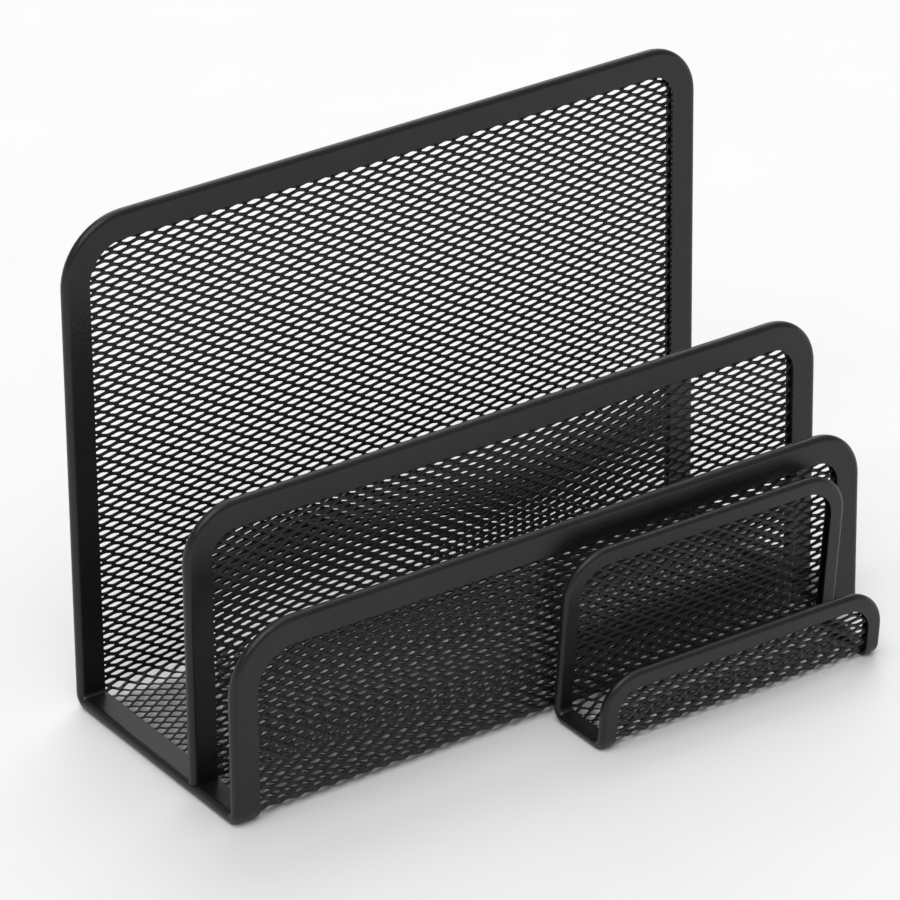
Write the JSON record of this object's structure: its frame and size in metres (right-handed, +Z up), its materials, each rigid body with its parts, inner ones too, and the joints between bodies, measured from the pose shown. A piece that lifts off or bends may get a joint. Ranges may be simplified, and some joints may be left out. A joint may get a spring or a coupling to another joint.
{
  "type": "desktop file sorter",
  "caption": "Free-standing desk sorter of black steel mesh: upright walls of stepped height make open-ended slots for letters and papers, with a small pocket for cards or stamps in front.",
  "frame": {"origin": "on the table, under the middle of the whole object's box", "axes": "+X along the walls, towards the end where the small pocket is; -Y to the front, where the low wall and the pocket are; +Z up"},
  "size_m": [0.183, 0.0948, 0.1295],
  "materials": {
    "wire_mesh": "black satin powder coat",
    "folded_rim": "black satin powder coat"
  },
  "bodies": {
    "root": {"back_mesh": "wire_mesh", "middle_mesh": "wire_mesh", "front_mesh": "wire_mesh", "floor_mesh": "wire_mesh", "pocket_back_mesh": "wire_mesh", "pocket_front_mesh": "wire_mesh", "pocket_floor_mesh": "wire_mesh", "back_rim": "folded_rim", "middle_rim": "folded_rim", "front_rim": "folded_rim", "left_floor_rail": "folded_rim", "right_floor_rail": "folded_rim", "pocket_back_rim": "folded_rim", "pocket_front_rim": "folded_rim", "pocket_left_rail": "folded_rim", "pocket_right_rail": "folded_rim"}
  },
  "joints": []
}
